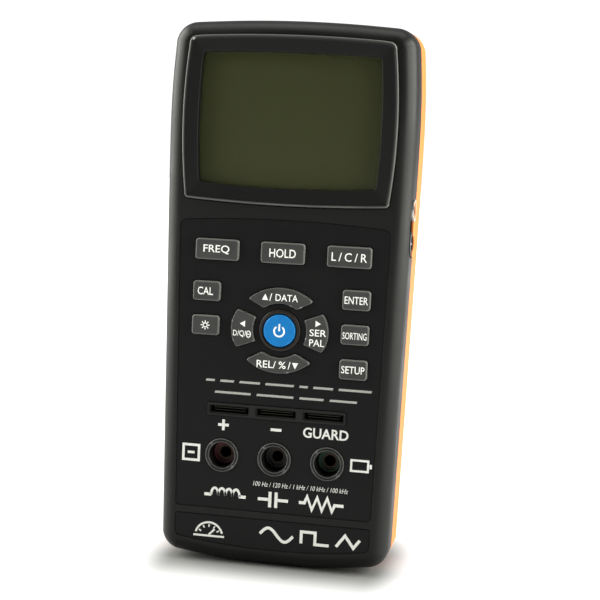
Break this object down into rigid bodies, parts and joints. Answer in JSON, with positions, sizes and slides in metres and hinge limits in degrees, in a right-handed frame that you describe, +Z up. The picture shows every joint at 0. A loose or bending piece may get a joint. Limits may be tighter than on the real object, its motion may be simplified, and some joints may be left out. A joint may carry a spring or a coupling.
{
  "type": "handheld LCR meter",
  "caption": "Handheld LCR meter with a blank display, sprung keys, component test slots, recessed banana jacks, side sockets, hinged battery door and folding tilt stand.",
  "frame": {"origin": "middle of the bottom end that the meter stands on, half way through its thickness", "axes": "+Z up along the length, from the input jacks to the display; -Y out of the face towards the user; +X to the right of a user who faces the display"},
  "size_m": [0.088, 0.041, 0.193],
  "materials": {
    "case_dark": "fine satin grain",
    "case_orange": "satin",
    "stand_dark": "satin",
    "bezel_dark": "satin",
    "lens_clear": "clear, polished",
    "lcd_olive": "reflective liquid crystal, blank",
    "white_plastic": "moulded",
    "light_guide": "frosted",
    "zebra_rubber": "elastomer",
    "label_film": "printed film",
    "ring_dark": "satin",
    "key_grey": "moulded, printed legend",
    "key_blue": "moulded, printed symbol",
    "silicone": "matt",
    "board_green": "solder mask",
    "steel": "zinc plated",
    "chip_black": "moulded epoxy",
    "capacitor_sleeve": "shrink sleeve",
    "chip_ceramic": "ceramic",
    "jack_red": "moulded insulator",
    "jack_black": "moulded insulator",
    "jack_green": "moulded insulator",
    "contact_metal": "plated",
    "slot_plastic": "satin",
    "socket_black": "moulded",
    "nut_metal": "knurled",
    "battery_jacket": "steel jacket",
    "lead_red": "insulated wire",
    "lead_black": "insulated wire"
  },
  "bodies": {
    "case": {"front_case": "case_dark", "rear_case": "case_orange", "display_bezel": "bezel_dark", "display_lens": "lens_clear", "lcd_glass": "lcd_olive", "lcd_holder": "white_plastic", "backlight_panel": "light_guide", "zebra_strip": "zebra_rubber", "keypad_overlay": "label_film", "name_plate": "label_film", "power_ring": "ring_dark", "keypad_membrane": "silicone", "main_board": "board_green", "board_screws": "steel", "measuring_ic": "chip_black", "processor_ic": "chip_black", "crystal": "steel", "buzzer": "chip_black", "capacitors": "capacitor_sleeve", "range_relays": "white_plastic", "chip_parts": "chip_ceramic", "jack_plus": "jack_red", "jack_minus": "jack_black", "jack_guard": "jack_green", "sleeve_plus": "contact_metal", "sleeve_minus": "contact_metal", "sleeve_guard": "contact_metal", "test_slot_block": "slot_plastic", "test_slot_contacts": "contact_metal", "serial_socket": "socket_black", "serial_socket_nut": "nut_metal", "adapter_socket": "socket_black", "adapter_pin": "steel", "battery_9v": "battery_jacket", "battery_snap": "chip_black", "battery_lead_red": "lead_red", "battery_lead_black": "lead_black", "case_screws": "steel"},
    "key_freq_cap": {"key_freq": "key_grey"},
    "key_hold_cap": {"key_hold": "key_grey"},
    "key_lcr_cap": {"key_lcr": "key_grey"},
    "key_cal_cap": {"key_cal": "key_grey"},
    "key_backlight_cap": {"key_backlight": "key_grey"},
    "key_enter_cap": {"key_enter": "key_grey"},
    "key_sorting_cap": {"key_sorting": "key_grey"},
    "key_setup_cap": {"key_setup": "key_grey"},
    "key_up_cap": {"key_up": "key_grey"},
    "key_down_cap": {"key_down": "key_grey"},
    "key_left_cap": {"key_left": "key_grey"},
    "key_right_cap": {"key_right": "key_grey"},
    "key_power_cap": {"key_power": "key_blue"},
    "stand": {"tilt_stand": "stand_dark"},
    "door": {"battery_door": "case_orange", "door_screw": "steel"}
  },
  "joints": [
    {"name": "key_freq_press", "type": "slide", "parent": "case", "child": "key_freq_cap", "axis": [0, 1, 0], "range_m": [0, 0.0008], "stiffness_N_per_m": 1200, "springref_m": -0.0002},
    {"name": "key_hold_press", "type": "slide", "parent": "case", "child": "key_hold_cap", "axis": [0, 1, 0], "range_m": [0, 0.0008], "stiffness_N_per_m": 1200, "springref_m": -0.0002},
    {"name": "key_lcr_press", "type": "slide", "parent": "case", "child": "key_lcr_cap", "axis": [0, 1, 0], "range_m": [0, 0.0008], "stiffness_N_per_m": 1200, "springref_m": -0.0002},
    {"name": "key_cal_press", "type": "slide", "parent": "case", "child": "key_cal_cap", "axis": [0, 1, 0], "range_m": [0, 0.0008], "stiffness_N_per_m": 1200, "springref_m": -0.0002},
    {"name": "key_backlight_press", "type": "slide", "parent": "case", "child": "key_backlight_cap", "axis": [0, 1, 0], "range_m": [0, 0.0008], "stiffness_N_per_m": 1200, "springref_m": -0.0002},
    {"name": "key_enter_press", "type": "slide", "parent": "case", "child": "key_enter_cap", "axis": [0, 1, 0], "range_m": [0, 0.0008], "stiffness_N_per_m": 1200, "springref_m": -0.0002},
    {"name": "key_sorting_press", "type": "slide", "parent": "case", "child": "key_sorting_cap", "axis": [0, 1, 0], "range_m": [0, 0.0008], "stiffness_N_per_m": 1200, "springref_m": -0.0002},
    {"name": "key_setup_press", "type": "slide", "parent": "case", "child": "key_setup_cap", "axis": [0, 1, 0], "range_m": [0, 0.0008], "stiffness_N_per_m": 1200, "springref_m": -0.0002},
    {"name": "key_up_press", "type": "slide", "parent": "case", "child": "key_up_cap", "axis": [0, 1, 0], "range_m": [0, 0.0008], "stiffness_N_per_m": 1200, "springref_m": -0.0002},
    {"name": "key_down_press", "type": "slide", "parent": "case", "child": "key_down_cap", "axis": [0, 1, 0], "range_m": [0, 0.0008], "stiffness_N_per_m": 1200, "springref_m": -0.0002},
    {"name": "key_left_press", "type": "slide", "parent": "case", "child": "key_left_cap", "axis": [0, 1, 0], "range_m": [0, 0.0008], "stiffness_N_per_m": 1200, "springref_m": -0.0002},
    {"name": "key_right_press", "type": "slide", "parent": "case", "child": "key_right_cap", "axis": [0, 1, 0], "range_m": [0, 0.0008], "stiffness_N_per_m": 1200, "springref_m": -0.0002},
    {"name": "key_power_press", "type": "slide", "parent": "case", "child": "key_power_cap", "axis": [0, 1, 0], "range_m": [0, 0.0008], "stiffness_N_per_m": 1200, "springref_m": -0.0002},
    {"name": "stand_hinge", "type": "hinge", "parent": "case", "child": "stand", "pos_m": [0, 0.0189, 0.172], "axis": [1, 0, 0], "range_deg": [0, 38]},
    {"name": "door_hinge", "type": "hinge", "parent": "case", "child": "door", "pos_m": [0, 0.0194, 0.0524], "axis": [-1, 0, 0], "range_deg": [0, 85]}
  ]
}
